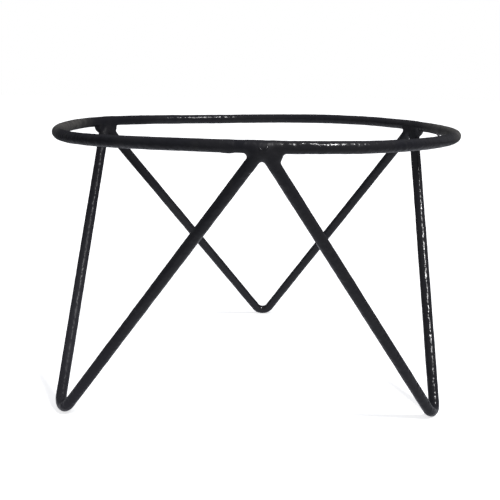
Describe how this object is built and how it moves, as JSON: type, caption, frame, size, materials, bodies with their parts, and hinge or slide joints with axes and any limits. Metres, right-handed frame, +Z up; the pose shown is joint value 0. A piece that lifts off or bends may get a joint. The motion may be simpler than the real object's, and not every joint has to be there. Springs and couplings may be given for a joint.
{
  "type": "wire pot stand",
  "caption": "Round hoop of bent bar on hairpin legs, welded and painted black; holds a pot or bowl off the table.",
  "frame": {"origin": "on the floor, at the middle of the stand's box, 7 mm behind the hoop's axis", "axes": "+Z up along the hoop's axis; -Y towards the front weld; +X to the right as seen from the front"},
  "size_m": [0.2, 0.216, 0.1319],
  "materials": {
    "bar_paint": "semi-gloss black paint with a slight orange peel, over round mild steel bar",
    "weld_paint": "the same black paint, over uneven weld beads"
  },
  "bodies": {
    "root": {"hoop": "bar_paint", "hoop_joint_weld": "weld_paint", "leg_left": "bar_paint", "leg_right": "bar_paint", "leg_back": "bar_paint", "weld_front": "weld_paint", "weld_back_right": "weld_paint", "weld_back_left": "weld_paint"}
  },
  "joints": []
}
